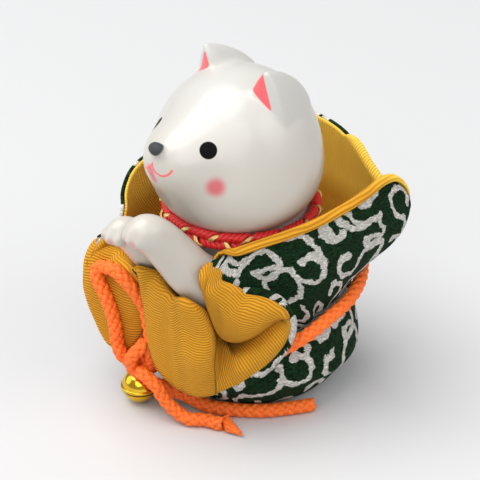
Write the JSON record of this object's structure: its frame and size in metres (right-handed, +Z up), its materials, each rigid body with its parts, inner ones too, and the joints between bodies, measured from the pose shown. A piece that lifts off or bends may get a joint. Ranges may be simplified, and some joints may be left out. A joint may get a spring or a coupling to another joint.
{
  "type": "ceramic dog figure",
  "caption": "White glazed ceramic dog with a red braided collar, peeking out of a lined arabesque cloth bag tied with an orange cord and a small bell.",
  "frame": {"origin": "centre of the bag's flat underside, where it rests on a table", "axes": "+Z up, the dog faces -Y, and its left side is +X"},
  "size_m": [0.063, 0.08, 0.0925],
  "materials": {
    "glaze": "gloss",
    "collar_braid": "satin",
    "printed_cloth": "matte",
    "lining_crepe": "matte",
    "cord_braid": "satin",
    "bell_brass": "polished"
  },
  "bodies": {
    "root": {"dog": "glaze", "collar": "collar_braid", "bag_cloth": "printed_cloth", "bag_lining": "lining_crepe", "drawstring": "cord_braid", "bow_loop": "cord_braid", "long_tail": "cord_braid", "short_tail": "cord_braid", "bell": "bell_brass"}
  },
  "joints": []
}
